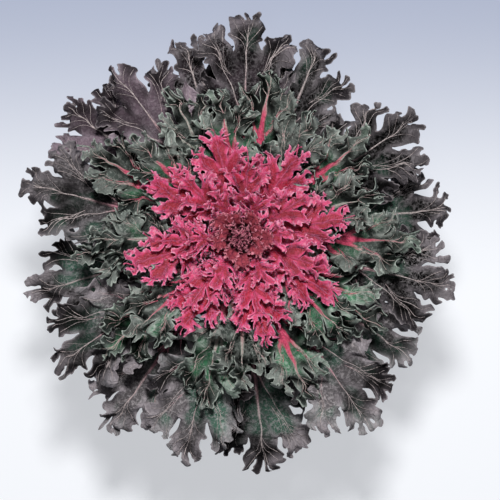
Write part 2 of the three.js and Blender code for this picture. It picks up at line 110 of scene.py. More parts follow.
WHORLS = [
    dict(
        DARK_LEAF, name="outer_low_leaf", attach_z=121, start=36, end=-24, nominal=180, lift=8,
        half_width=44, fold=6, petiole_half=3.4, rib=5, rib_tip=1.1,
        leaves=[
            (9, 174, 0.1, -0.2), (67, 173, 0.15, -0.2), (106, 168, -0.03, -0.3), (142, 180, -0.2, 0.1),
            (194, 176, 0.4, 0.15), (236, 188, 0.6, 0.2), (276, 194, 0.4), (325, 172, 0.5, 0.4),
        ],
    ),
    dict(
        DARK_LEAF, name="outer_high_leaf", attach_z=132, start=42, end=-18, nominal=178, lift=7,
        half_width=43, fold=6, petiole_half=3.2, rib=4.6, rib_tip=1.1,
        leaves=[
            (34, 171, 0.05, -0.4), (88, 182, -0.02, -0.25), (126, 170, -0.2, 0.3), (166, 181, 0.35, -0.3),
            (215, 182, 0.6, 0.15), (255, 184, 0.6, 0.2), (304, 186, 0.6, 0.25), (346, 177, 0.2),
        ],
    ),
    dict(
        GREEN_LEAF, name="middle_low_leaf", attach_z=142.5, start=49, end=-10, nominal=142, lift=6,
        half_width=29, fold=8, petiole_half=2.8, rib=4, rib_tip=1,
        leaves=[
            (0, 144, 0.9), (39, 134, 0.9), (78, 138, 0.9, -0.2), (114, 132), (150, 146, 0.9, -0.2),
            (186, 134, 0.4), (221, 148, 0.9, 0.4), (257, 140, 0.5, 0.25), (293, 146, 0.9, 0.2),
            (327, 136, 0.9, 0.2),
        ],
    ),
    dict(
        GREEN_LEAF, name="middle_high_leaf", attach_z=152, start=55, end=-2, nominal=120, lift=5,
        half_width=28, fold=8, petiole_half=2.6, rib=3.6, rib_tip=1,
        leaves=[
            (18, 120), (58, 116, None, -0.2), (97, 120, 0.9), (138, 118, 0.9), (180, 120),
            (222, 122, 0.65, 0.4), (272, 122, None, 0.1), (318, 120, 0.65, 0.4),
        ],
    ),
    dict(
        PINK_LEAF, name="pink_outer_leaf", attach_z=160.5, start=60, end=5, nominal=94, lift=3.6,
        half_width=24, fold=6, petiole_half=2.4, rib=3, rib_tip=0.9,
        leaves=[(10, 92), (56, 88), (102, 90), (147, 90), (192, 96), (237, 92), (283, 90), (329, 94)],
    ),
    dict(
        PINK_LEAF, name="pink_middle_leaf", attach_z=168, start=65, end=13, nominal=72, lift=3.4,
        half_width=20, fold=6, petiole_half=2.2, rib=2.6, rib_tip=0.9,
        leaves=[
            (32, 70, 0.45), (82, 70, 0.45), (132, 72, 0.45), (183, 70, 0.45), (234, 74, 0.45),
            (286, 74, 0.45), (339, 72, 0.45),
        ],
    ),
    dict(
        PINK_LEAF, name="pink_inner_leaf", attach_z=174.5, start=70, end=24, nominal=50, lift=3,
        half_width=15, fold=6, petiole_half=2, rib=2.2, rib_tip=0.9,
        leaves=[
            (5, 50, 0.69), (62, 48, 0.69), (118, 50, 0.69), (182, 50, 0.69), (242, 52, 0.69), (302, 52, 0.69),
        ],
    ),
]

HEART_LEAF = dict(
    slot="heart_leaf", petiole=0.2, shoulder=1.5, lobes=1, cut_base=0.2, cut_tip=0.2, cut_power=2,
    frill_base=14, frill_tip=14, vein_root=0.6, lift=2, fold=14, petiole_half=1.2, rib=1.0, rib_tip=0.5,
    veins=False, web=0.3, finger_curl=0.8, drift=0.5, vein_lean=0.2, leaflets=(), leaflet_length=0,
    swell=0.4, tooth_turn=36, puff=0.0, puff_width=1.0, forward=0.0, finger_taper=0.7,
)
HEART = dict(
    foot_z=183.35, core_top=192.0, core_radius=6.2, core_top_radius=3.2, root_depth=2,
    rings=[  # leaves, tint, first and last: length, half width, tilts at root and tip, height; fine form
        (
            10, 1.0, (37, 28), (11, 9), (72, 75), (26, 36), (184.3, 185.6),
            dict(step=0.54, finger_gap=3.2, finger_length=3.6, finger_radius=0.85, tooth_length=1.6,
                 tooth_radius=0.35, ruffle=0.8, ruffle_depth=2.0, wave=5),
        ),
        (
            26, 0.0, (11, 7.5), (4.2, 2.6), (56, 80), (80, 88), (186.6, 191),
            dict(step=0.36, finger_gap=1.9, finger_length=1.7, finger_radius=0.5, tooth_length=0.8,
                 tooth_radius=0.25, ruffle=1.3, ruffle_depth=2.0, wave=3.2),
        ),
    ],
)

HEART_SEEDS = 900  # its leaves' seeds count up from here

BLADE_THICKNESS = 0.5
MIDRIB_END = 0.97  # of the leaf's length
VEIN_RISE = 0.45  # of a vein's strand above the blade
VEIN_PITCH = 2.2  # between a strand's rings
BARE_CUT = 0.43  # from a lobe's middle, in lobes: no finger starts further out than this
FINGER_STRAY, TOOTH_STRAY = 14, 12  # degrees to either side
TEETH_MISSING = 0.25  # of the side teeth
RIPPLE_WAVES = 11  # that add up to one ripple
HALVINGS = 20  # in the search for a point's place on the leaf
SEED_SHIFT = 31.0  # along the third axis of the noise, from one leaf's pattern to the next

POT = dict(
    base_radius=46.0, shoulder_radius=60.0, rim_radius=65.0, height=106.0, rim_height=16.0,
    wall=2.2, floor=2.5, lip=1.5, drain_holes=5, drain_radius=4.5, drain_circle=30.0,
)
POT_SOILED = 14.0  # how high soil clings round its foot
POT_SHARP = 38  # degrees between faces, from which an edge isn't smoothed
SOIL_TOP = 97.0
SOIL_SEED, CRUMBS = 41, 620
STEM_FOOT_Z = 63.0
SCARS_Z, SCAR_WIDTH, SCAR_HEIGHT = 100, 6.5, 2.6  # the lowest scar's height, and half sizes

# ---- numbers ----

WORD = 0xFFFFFFFF


def seeded_random(seed):
    """The same repeatable numbers from 0 to 1 as the model's source draws."""
    state = seed & WORD

    def draw():
        nonlocal state
        state = (state + 0x6D2B79F5) & WORD
        t = ((state ^ (state >> 15)) * (state | 1)) & WORD
        t ^= (t + ((t ^ (t >> 7)) * (t | 61))) & WORD
        return ((t ^ (t >> 14)) & WORD) / 2**32

    return draw


def mix(a, b, t):
    return a + (b - a) * t


def smoothstep(low, high, x):
    t = np.clip((x - low) / (high - low), 0, 1)
    return t * t * (3 - 2 * t)


def unit(vectors):
    return vectors / np.maximum(np.linalg.norm(vectors, axis=-1, keepdims=True), 1e-12)


def lengths_along(path):
    """How far along a flat path each of its points lies."""
    return np.concatenate([[0], np.cumsum(np.hypot(*np.diff(path, axis=0).T))])


def stem_radius(z):
    t = (z - STEM_COLLAR_Z) / (STEM_TOP_Z - STEM_COLLAR_Z)
    return mix(STEM_COLLAR_RADIUS, STEM_TOP_RADIUS, t)


# ---- one leaf's plan ----


def leaf_plan(kind, attach_radius, seed, heading, reach, tint=None, bloom=0.0):
    """Everything that fixes one leaf's form, drawn in the same order as for its solid."""
    random = seeded_random(seed)

    def uneven():
        return 2 * random() - 1

    plan = SimpleNamespace(**kind)
    plan.start = math.radians(kind["start"])
    end = math.radians(kind["end"])
    plan.root_radius = attach_radius + SEAT_GAP + SOLID_THICKNESS / 2 * math.sin(plan.start)
    plan.bend_radius = (kind["nominal"] - plan.root_radius) / (math.sin(end) - math.sin(plan.start))
    end_tilt = math.asin(math.sin(plan.start) + (reach - plan.root_radius) / plan.bend_radius)
    plan.length = plan.bend_radius * (end_tilt - plan.start)
    plan.blade_start = plan.petiole * plan.length
    plan.heading = math.radians(heading)
    plan.roll = math.radians(MOST_ROLL * uneven())
    plan.sway = MOST_SWAY * uneven()
    plan.last = plan.lobes + 0.5
    plan.seed = seed
    plan.fine = np.random.RandomState(seed)
    drawn_tint = plan.fine.uniform(0, 0.6)
    plan.tint = drawn_tint if tint is None else tint
    plan.bloom = bloom
    tip_bend = uneven()
    plan.edges = []
    for side in (1, -1):
        bends, twists, sizes = [], [], []
        up = 1 if random() < 0.5 else -1
        for _ in range(plan.lobes):
            bends.append(up * (0.45 + 0.55 * random()))
            twists.append(uneven())
            sizes.append(1 - 0.12 * random())
            up = -up
        plan.edges.append(SimpleNamespace(
            side=side,
            bends=np.array(bends + [0.6 * tip_bend]),
            twists=np.array(twists + [0]),
            sizes=np.array(sizes + [1]),
        ))
    plan.fingers = draw_fingers(plan)
    return plan


def along_lobes(values, lobe):
    """A value given at each lobe's centre, eased from one lobe to the next."""
    at = np.clip(lobe - 0.5, 0, len(values) - 1)
    k = np.minimum(np.floor(at).astype(int), len(values) - 2)
    return mix(values[k], values[k + 1], smoothstep(k, k + 1, at))


def outline(plan, t):
    """The ray at t from the leaf's base, 0, to its tip, 1: its end, its start and its length."""
    out_x = mix(plan.blade_start, plan.length, (1 - np.cos(math.pi * t)) / 2)
    out_y = plan.petiole_half * (1 - t) + plan.half_width * np.sin(math.pi * t**plan.shoulder)
    root = mix(plan.blade_start, plan.vein_root * plan.length, t)
    return out_x, out_y, root, np.hypot(out_x - root, out_y)


def along_ray(t, share, out_x, root, full):
    """How far along the leaf the point at a share of the way out along a ray lies."""
    back = BULGE * full * share * (1 - share) * np.sin(math.pi * t)
    return root + (out_x - root) * share - back


def flat_point(plan, lobe, share):
    """The point at a share of the way out along a lobe's ray, on the flattened leaf."""
    t = np.clip(lobe / plan.last, 0, 1)
    out_x, out_y, root, full = outline(plan, t)
    return np.stack([along_ray(t, share, out_x, root, full), out_y * share], axis=-1)


def palm_share(plan, edge, lobe, full):
    """How far out the blade reaches between its fingers, with rounded cuts between lobes."""
    off = np.abs(lobe % 1 - 0.5) * 2
    cut = (LEAST_CUT + mix(plan.cut_base, plan.cut_tip, lobe / plan.last)) * off**plan.cut_power
    return np.maximum((1 - cut) * along_lobes(edge.sizes, lobe) - plan.finger_length / full, LEAST_PALM)


def draw_fingers(plan):
    """The fingers along the blade's margin, each with its teeth, on the flattened leaf."""
    random = plan.fine
    fingers = []
    for edge in plan.edges:
        lobe = np.linspace(0.1, plan.last, 100 * plan.lobes)
        share = palm_share(plan, edge, lobe, outline(plan, lobe / plan.last)[-1])
        line = flat_point(plan, lobe, share)
        along = np.gradient(line, axis=0)
        outward = unit(np.stack([-along[:, 1], along[:, 0]], -1))
        ray = unit(flat_point(plan, lobe, share + 0.02) - line)
        room = np.hypot(*(flat_point(plan, np.round(lobe), share) - line).T)
        run = lengths_along(line)
        at = run[-1] if edge.side > 0 else run[-1] - plan.finger_gap
        while at > 0:
            i = min(np.searchsorted(run, at), len(run) - 1)
            at -= plan.finger_gap * random.uniform(0.8, 1.2)
            heading = unit(outward[i] + 1.2 * ray[i] + [plan.forward, 0])
            if abs(lobe[i] % 1 - 0.5) > BARE_CUT and lobe[i] > 0.5:
                continue
            across = abs(heading[0] * ray[i, 1] - heading[1] * ray[i, 0])
            length = plan.finger_length * random.uniform(0.65, 1.15)
            clear = room[i] - 0.8 * plan.finger_radius - 0.3 * plan.tooth_length
            length = min(length, max(clear, 0) / max(across, 0.1) + 0.6 * plan.finger_radius)
            if length > 1.1 * plan.finger_radius:
                fingers.append(grow_finger(plan, edge.side, line[i], heading, length, lobe[i], share[i]))
    return fingers


def grow_finger(plan, side, foot, heading, length, lobe, share):
    """One finger: its own tapering stroke, then those of its teeth, and the vein that feeds it."""
    random = plan.fine
    mirror = np.array([1, side])
    radius = min(plan.finger_radius * random.uniform(0.8, 1.2), 0.45 * length)
    stray = math.radians(random.uniform(-FINGER_STRAY, FINGER_STRAY))
    turn = math.atan2(heading[1], heading[0]) + stray
    heading = np.array([math.cos(turn), math.sin(turn)])
    tooth = min(plan.tooth_length * random.uniform(0.8, 1.2), 0.5 * length)
    small = min(plan.tooth_radius, 0.65 * radius)
    root, palm = foot - radius * heading, foot + (length - tooth) * heading
    strokes = [(root * mirror, palm * mirror, radius, radius * plan.finger_taper)]
    teeth = [(0, 1.0, 1.0)]  # degrees from the finger, where along it the tooth starts, its size
    for bend, start_share, size in ((plan.tooth_turn, 0.9, 0.9), (60, 0.55, 0.7)):
        teeth += [(bend, start_share, size), (-bend, start_share, size)]
    for lean, start_share, size in teeth:
        if lean and random.uniform(0, 1) < TEETH_MISSING:
            continue
        way = turn + math.radians(lean + random.uniform(-TOOTH_STRAY, TOOTH_STRAY))
        start = mix(root, palm, start_share)
        reach = (tooth + (0 if lean == 0 else 0.8 * radius)) * size * random.uniform(0.8, 1.1)
        end = start + max(reach - small, 0.1) * np.array([math.cos(way), math.sin(way)])
        strokes.append((start * mirror, end * mirror, radius * 0.75, small))
    off = abs(lobe % 1 - 0.5) * 2
    centre = min(math.floor(lobe), plan.lobes) + 0.5
    near, ahead = flat_point(plan, np.full(2, centre), share * mix(0.8, 0.3, off) + np.array([0, 0.02]))
    way = unit(ahead - near)
    bend = near + 0.6 * max(np.dot(palm - near, way), 0) * way
    grow = np.linspace(0, 1, 9)[:, None]
    vein = (1 - grow) ** 2 * near + 2 * grow * (1 - grow) * bend + grow**2 * palm
    return SimpleNamespace(strokes=strokes, vein=vein * mirror, off=off, curl=random.uniform(-1, 1))


# ---- the leaf laid flat on a grid ----


def leaf_coordinates(plan, x, y):
    """How far round the lobes, and how far out along its ray, each flat point lies."""
    low, high = np.zeros_like(x), np.ones_like(x)
    for _ in range(HALVINGS):
        t = (low + high) / 2
        out_x, out_y, root, full = outline(plan, t)
        share = np.minimum(y / np.maximum(out_y, 1e-6), 1.3)
        ahead = x > along_ray(t, share, out_x, root, full)
        low, high = np.where(ahead, t, low), np.where(ahead, high, t)
    root = np.where(x < plan.blade_start, x, np.minimum(root, x))
    return t, np.hypot(x - root, y) / full, root, full


def ripples(plan, flat, wavelength):
    """A seeded band of waves of about one wavelength, from about -1 to 1."""
    total = np.zeros_like(flat.x)
    for turn, stretch, phase in plan.fine.uniform(0, 1, (RIPPLE_WAVES, 3)):
        pace = 2 * math.pi / (wavelength * mix(0.75, 1.4, stretch))
        heading = 2 * math.pi * turn
        run = flat.x * math.cos(heading) + flat.y * math.sin(heading)
        total += np.cos(pace * run + 2 * math.pi * phase)
    return total * math.sqrt(1.4 / RIPPLE_WAVES)


def join(a, b, soft):
    """The union of two outline fields, rounded where they meet."""
    h = np.maximum(soft - np.abs(a - b), 0) / soft
    return np.minimum(a, b) - h * h * soft / 4


def near_segment(x, y, a, b):
    """Distance from points to a segment, and how far along it the nearest point is."""
    dx, dy = b[0] - a[0], b[1] - a[1]
    h = np.clip(((x - a[0]) * dx + (y - a[1]) * dy) / max(dx * dx + dy * dy, 1e-9), 0, 1)
    return np.hypot(x - a[0] - h * dx, y - a[1] - h * dy), h


def vein_paths(plan):
    """Side veins, then their branches to the fingers: [flat path, first and last half width, sides]."""
    paths = []
    for edge in plan.edges:
        mirror = np.array([1, edge.side])
        for k in range(plan.lobes):
            share = np.linspace(0, 0.95 * edge.sizes[k], 13)
            points = flat_point(plan, np.full(13, k + 0.5), share)
            lean = plan.vein_lean * (1 - share / share[-1]) ** 2
            room = points[0, 0] - plan.blade_start * 0.6
            points[:, 0] -= lean * min(np.hypot(*(points[-1] - points[0])), room)
            paths.append((points * mirror, 0.18 * plan.petiole_half, 0.24, 4))
    for finger in plan.fingers:
        if finger.off > 0.1:
            paths.append((finger.vein, 0.1 * plan.petiole_half, 0.16, 3))
    return paths


def blade_fields(plan):
    """The flat leaf on a square grid: its outline, below 0 inside, and where each point lies on it."""
    step, margin = plan.step, 4 * plan.step
    half = step * math.ceil((plan.half_width * 1.1 + margin) / step)
    along, across = np.arange(0, plan.length + margin, step), np.arange(-half, half + step / 2, step)
    x, y = np.meshgrid(along, across, indexing="ij")
    t, share, root, full = leaf_coordinates(plan, x, np.abs(y))
    lobe = t * plan.last
    field = np.full_like(x, 1e3)
    lean = np.zeros_like(x)
    for edge in plan.edges:
        own = y * edge.side >= 0
        palm = (share - palm_share(plan, edge, lobe, full)) * full
        field = np.where(own, palm, field)
        twist = 0.5 * along_lobes(edge.twists, lobe) * np.sin(2 * math.pi * lobe)
        lean = np.where(own, along_lobes(edge.bends, lobe) + twist, lean)
    field = np.where(t <= 1e-5, np.abs(y) - 0.8 * plan.petiole_half, field)
    slope_x, slope_y = np.gradient(field, step)
    field = field / np.maximum(np.hypot(slope_x, slope_y), 1.0)

    curl, tips = np.zeros_like(x), np.full_like(x, 99.0)
    for finger in plan.fingers:
        for number, (a, b, radius_a, radius_b) in enumerate(finger.strokes):
            near_by = window(a, b, 3 * plan.finger_radius + 2 * step, step, half, x.shape)
            part_x, part_y = x[near_by], y[near_by]
            near, at = near_segment(part_x, part_y, a, b)
            field[near_by] = join(field[near_by], near - mix(radius_a, radius_b, at), plan.web)
            if number:
                tips[near_by] = np.minimum(tips[near_by], np.hypot(part_x - b[0], part_y - b[1]))
            else:
                fall = np.exp(-((near / (1.4 * plan.finger_radius)) ** 2))
                curl[near_by] += finger.curl * at**2 * fall
    for side, start, length, aim in leaflets(plan):
        a = np.array([start, 0.0])
        b = a + length * np.array([math.cos(aim), side * math.sin(aim)])
        near, at = near_segment(x, y, a, b)
        radius = mix(1.6, 0.3 * length, at) * (1 + 0.3 * np.cos(9 * at))
        field = join(field, near - radius, plan.web)
    rib = np.abs(y) - 0.5 * plan.petiole_half * (1 - x / plan.length)
    vein = np.abs(y)
    for number, (path, *_) in enumerate(plan.paths):
        for a, b in zip(path[:-2:2], path[2::2]):
            near_by = window(a, b, 4 * plan.puff_width, step, half, x.shape)
            near, _ = near_segment(x[near_by], y[near_by], a, b)
            vein[near_by] = np.minimum(vein[near_by], near)
            if number < 2 * plan.lobes:
                rib[near_by] = np.minimum(rib[near_by], near)
    return SimpleNamespace(
        x=x, y=y, t=t, share=share, root=root, field=field, lean=lean, curl=curl, tips=tips,
        rib=rib, vein=vein, step=step, half=half,
    )


def window(a, b, reach, step, half, shape):
    """The part of the grid within reach of a stroke."""
    low = np.minimum(a, b) - reach + [0, half]
    high = np.maximum(a, b) + reach + [0, half]
    first = np.clip((low / step).astype(int), 0, np.array(shape) - 2)
    last = np.clip((high / step).astype(int) + 2, first + 2, shape)
    return slice(first[0], last[0]), slice(first[1], last[1])


def leaflets(plan):
    """Small frilly lobes along the leaf stalk: [side, start, length, heading]."""
    found = []
    for side in (1, -1):
        for at in plan.leaflets:
            length = plan.leaflet_length * plan.fine.uniform(0.6, 1.1)
            start = plan.blade_start * (at + plan.fine.uniform(-0.05, 0.05))
            found.append((side, start, length, math.radians(plan.fine.uniform(50, 80))))
    return found


def place(plan, along, across, above, ruffle):
    """Leaf coordinates to the plant's frame: along the midrib, across it, above the bowl."""
    share = along / plan.length
    tilt = plan.start + along / plan.bend_radius
    out = plan.root_radius + plan.bend_radius * (np.sin(tilt) - math.sin(plan.start))
    side = across + plan.sway * share * share
    radius = np.hypot(out, side)
    bowl_sine = math.sin(plan.start) + (radius - plan.root_radius) / plan.bend_radius
    bowl_tilt = np.arcsin(np.clip(bowl_sine, -1, 1))
    bowl_z = plan.attach_z - plan.bend_radius * (np.cos(bowl_tilt) - math.cos(plan.start))
    rise = plan.lift * np.tanh((above + across * np.sin(plan.roll * share)) / plan.lift) + ruffle
    turn = plan.heading + np.arctan2(side, out)
    reach = radius - rise * np.sin(bowl_tilt)
    z = bowl_z + rise * np.cos(bowl_tilt)
    return np.stack([reach * np.cos(turn), reach * np.sin(turn), z], axis=-1)


def shape_in_space(plan, flat):
    """Lobes turned up and down as on the leaf's solid, then ruffles that grow to the margin."""
    dx, dy = flat.x - flat.root, flat.y
    run = np.hypot(dx, dy)
    frill = np.radians(mix(plan.frill_base, plan.frill_tip, flat.t))
    fold = math.radians(plan.fold) * np.cos(math.pi / 2 * flat.t)
    turn = fold + frill * np.minimum(flat.share, 1.1) * flat.lean
    inside = np.maximum(-flat.field, 0)
    near_edge = np.exp(-inside / plan.ruffle_depth)
    blade = smoothstep(0.0, 0.35, flat.share)
    wave = ripples(plan, flat, plan.wave)
    swell = ripples(plan, flat, 2.6 * plan.wave)
    ruffle = blade * near_edge * plan.ruffle * wave + blade * plan.swell * swell
    ruffle += plan.finger_curl * flat.curl
    ruffle += blade * plan.puff * (0.5 - np.exp(-((flat.vein / plan.puff_width) ** 2)))
    pull = plan.drift * blade * (0.35 + 0.65 * near_edge)
    along = flat.root + dx * np.cos(turn) + pull * ripples(plan, flat, 1.3 * plan.wave)
    across = dy * np.cos(turn) + pull * ripples(plan, flat, 1.3 * plan.wave)
    # How high each point stands in the leaf's own relief; the shader paints shade into its low parts.
    flat.high = (run * np.sin(turn) + ruffle) / (0.2 * plan.half_width)
    return place(plan, along, across, run * np.sin(turn), ruffle)


def sample(flat, grid, x, y):
    """A grid's values at any flat points, from the four grid points round each."""
    i = np.clip(x / flat.step, 0, grid.shape[0] - 1.001)
    j = np.clip((y + flat.half) / flat.step, 0, grid.shape[1] - 1.001)
    i0, j0 = i.astype(int), j.astype(int)
    fi, fj = i - i0, j - j0
    if grid.ndim == 3:
        fi, fj = fi[:, None], fj[:, None]
    low = mix(grid[i0, j0], grid[i0 + 1, j0], fi)
    high = mix(grid[i0, j0 + 1], grid[i0 + 1, j0 + 1], fi)
    return mix(low, high, fj)


def cells_in(keep):
    """Faces for the kept cells of a grid: four cells well inside the margin make one face."""
    height, width = keep.shape[0] // 2, keep.shape[1] // 2
    padded = np.pad(keep, ((1, 2), (1, 2)))
    inside = np.ones((height, width), bool)
    for i in range(4):
        for j in range(4):
            inside &= padded[i:i + 2 * height:2, j:j + 2 * width:2]
    small = keep.copy()
    small[:2 * height, :2 * width] &= ~np.repeat(np.repeat(inside, 2, 0), 2, 1)
    pitch = keep.shape[1] + 1
    i, j = np.nonzero(small)
    first = i * pitch + j
    quads = [np.stack([first, first + pitch, first + pitch + 1, first + 1], -1)]

    i, j = np.nonzero(inside)
    around = np.pad(inside, 1)
    open_sides = [~around[i + 1, j], ~around[i + 2, j + 1], ~around[i + 1, j + 2], ~around[i, j + 1]]
    ring = [(0, 0), (1, 0), (2, 0), (2, 1), (2, 2), (1, 2), (0, 2), (0, 1)]
    corner = [(2 * i + a) * pitch + 2 * j + b for a, b in ring]
    centre = (2 * i + 1) * pitch + 2 * j + 1
    whole = ~np.any(open_sides, axis=0)
    quads.append(np.stack(corner[::2], -1)[whole])
    triangles = []
    for k in range(4):
        start, mid, end = corner[2 * k], corner[2 * k + 1], corner[(2 * k + 2) % 8]
        halved, plain = open_sides[k], ~open_sides[k] & ~whole
        triangles.append(np.stack([centre, start, mid], -1)[halved])
        triangles.append(np.stack([centre, mid, end], -1)[halved])
        triangles.append(np.stack([centre, start, end], -1)[plain])
    return np.concatenate(quads), np.concatenate(triangles)


def cut_out(plan, flat):
    """The blade's flat mesh: grid cells inside the outline, their margin drawn onto it."""
    field = flat.field
    middle = (field[:-1, :-1] + field[1:, :-1] + field[1:, 1:] + field[:-1, 1:]) / 4
    keep = middle < 0
    keep[flat.x[:-1, :-1] < plan.blade_start * 0.25] = False
    keep = main_island(keep)
    for _ in range(4):  # fills in where two cells touch at one corner alone
        rising = keep[:-1, :-1] & keep[1:, 1:] & ~keep[1:, :-1] & ~keep[:-1, 1:]
        falling = ~keep[:-1, :-1] & ~keep[1:, 1:] & keep[1:, :-1] & keep[:-1, 1:]
        keep[1:, :-1] |= rising
        keep[:-1, :-1] |= falling
    quads, triangles = cells_in(keep)
    used, corners = np.unique(np.concatenate([quads.ravel(), triangles.ravel()]), return_inverse=True)
    quads, triangles = corners[:quads.size].reshape(-1, 4), corners[quads.size:].reshape(-1, 3)
    x, y = flat.x.ravel()[used], flat.y.ravel()[used]
    edges = np.concatenate(
        [quads[:, [k, (k + 1) % 4]] for k in range(4)] + [triangles[:, [k, (k + 1) % 3]] for k in range(3)]
    )
    codes = edges[:, 0] * len(used) + edges[:, 1]
    border = edges[~np.isin(codes, edges[:, 1] * len(used) + edges[:, 0])]
    on_border = np.zeros(len(used), bool)
    on_border[border] = True
    slope_x, slope_y = np.gradient(field, flat.step)
    inner = edges[~on_border[edges[:, 0]]]
    links = np.concatenate([inner, border, border[:, ::-1]])
    count = np.bincount(links[:, 0], minlength=len(used))
    # Points settle between their neighbours, and the border's are drawn onto the outline.
    for _ in range(6):
        mean_x = np.bincount(links[:, 0], x[links[:, 1]], len(used)) / count
        mean_y = np.bincount(links[:, 0], y[links[:, 1]], len(used)) / count
        x, y = mix(x, mean_x, 0.5), mix(y, mean_y, 0.5)
        bx, by = x[on_border], y[on_border]
        value = sample(flat, field, bx, by)
        gx, gy = sample(flat, slope_x, bx, by), sample(flat, slope_y, bx, by)
        pull = np.clip(value / np.maximum(gx * gx + gy * gy, 0.25), -flat.step, flat.step)
        x[on_border], y[on_border] = bx - pull * gx, by - pull * gy
    return x, y, quads, triangles, border


def main_island(keep):
    """The kept cells that join on to the ones along the midrib."""
    middle = keep.shape[1] // 2
    reached = np.zeros_like(keep)
    reached[:, middle - 1:middle + 1] = keep[:, middle - 1:middle + 1]
    while True:
        grown = reached.copy()
        grown[1:] |= reached[:-1]
        grown[:-1] |= reached[1:]
        grown[:, 1:] |= reached[:, :-1]
        grown[:, :-1] |= reached[:, 1:]
        grown &= keep
        if (grown == reached).all():
            return reached
        reached = grown


# ---- meshes ----

VALUES = ("reach", "out", "edge", "rib", "tip", "high", "under", "stalk", "tint", "bloom")


def put_in_scene(name, data):
    made = bpy.data.objects.new(name, data)
    bpy.context.scene.collection.objects.link(made)
    return made


class Mesh:
    """Collects vertices, faces and named values, and makes one Blender object of them."""

    def __init__(self):
        self.points, self.quads, self.triangles = [], [], []
        self.values = {name: [] for name in VALUES}
        self.flat = []
        self.count = 0

    def add(self, points, quads=(), triangles=(), flat=None, **values):
        """Each value is one number, or one for each point; flat is where the patterns have them."""
        self.points.append(points)
        self.quads.append(np.asarray(quads, int).reshape(-1, 4) + self.count)
        self.triangles.append(np.asarray(triangles, int).reshape(-1, 3) + self.count)
        for name in VALUES:
            value = np.asarray(values.get(name, 0.0), float)
            self.values[name].append(np.broadcast_to(value.reshape(-1), (len(points),)))
        self.flat.append(points if flat is None else flat)
        self.count += len(points)

    def make(self, name, material, node):
        """The piece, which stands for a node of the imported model."""
        mesh = bpy.data.meshes.new(name)
        points = np.concatenate(self.points) * MM
        quads, triangles = np.concatenate(self.quads), np.concatenate(self.triangles)
        corners = np.concatenate([quads.ravel(), triangles.ravel()])
        sizes = np.concatenate([np.full(len(quads), 4), np.full(len(triangles), 3)])
        mesh.vertices.add(len(points))
        mesh.vertices.foreach_set("co", points.astype(np.float32).ravel())
        mesh.loops.add(len(corners))
        mesh.loops.foreach_set("vertex_index", corners.astype(np.int32))
        mesh.polygons.add(len(sizes))
        mesh.polygons.foreach_set("loop_start", (np.cumsum(sizes) - sizes).astype(np.int32))
        mesh.update(calc_edges=True)
        mesh.polygons.foreach_set("use_smooth", np.ones(len(sizes), bool))
        for value_name, parts in self.values.items():
            layer = mesh.attributes.new(value_name, "FLOAT", "POINT")
            layer.data.foreach_set("value", np.concatenate(parts).astype(np.float32))
        layer = mesh.attributes.new("flat", "FLOAT_VECTOR", "POINT")
        layer.data.foreach_set("vector", np.concatenate(self.flat).astype(np.float32).ravel())
        mesh.validate()
        mesh.materials.append(material)
        piece = put_in_scene(name, mesh)
        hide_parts(node)
        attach(piece, "root")
        return piece


def surface_normals(points, quads, triangles):
    """Unit normals at the points of a surface."""
    a, b, c, d = points[quads.T]
    e, f, g = points[triangles.T]
    normals = np.zeros_like(points)
    for faces, crossed in (quads, np.cross(c - a, d - b)), (triangles, np.cross(f - e, g - e)):
        for corners in faces.T:
            for axis in range(3):
                normals[:, axis] += np.bincount(corners, crossed[:, axis], len(points))
    return unit(normals)


def add_tube(mesh, rings, ends, **values):
    """A closed tube: rings of points, the centres of its two ends, and values by ring or by point."""
    count, sides = rings.shape[:2]
    number = np.arange(count * sides).reshape(count, sides)
    ahead = np.roll(number, -1, axis=1)
    quads = np.stack([number[:-1], ahead[:-1], ahead[1:], number[1:]], -1)
    first, final = count * sides, count * sides + 1
    caps = [[first, b, a] for a, b in zip(number[0], ahead[0])]
    caps += [[final, a, b] for a, b in zip(number[-1], ahead[-1])]
    for name, value in values.items():
        if np.ndim(value):
            by_point = np.broadcast_to(np.reshape(value, (count, -1)), (count, sides))
            values[name] = np.concatenate([by_point.ravel(), by_point[[0, -1], 0]])
    mesh.add(np.concatenate([rings.reshape(-1, 3), ends]), quads=quads, triangles=caps, **values)


def add_strand(mesh, middle, normal, width, top, depth, sides, **values):
    """A closed tapering strand along a path, `width` to each side, `top` above and `depth` below."""
    side = unit(np.cross(normal, np.gradient(middle, axis=0)))
    turn = 2 * math.pi * (np.arange(sides) / sides + 0.25)
    sine = np.sin(turn)[None, :]
    rise = np.where(sine > 0, top[:, None], depth[:, None]) * sine
    across = width[:, None] * np.cos(turn)
    rings = middle[:, None] + side[:, None] * across[..., None] + normal[:, None] * rise[..., None]
    add_tube(mesh, rings, middle[[0, -1]], **values)


def even_steps(path):
    """A path's points laid anew at equal steps, and how far along it each lies."""
    run = lengths_along(path)
    far = np.linspace(0, 1, max(math.ceil(run[-1] / VEIN_PITCH), 2) + 1)
    return np.stack([np.interp(far * run[-1], run, path[:, k]) for k in (0, 1)], -1), far


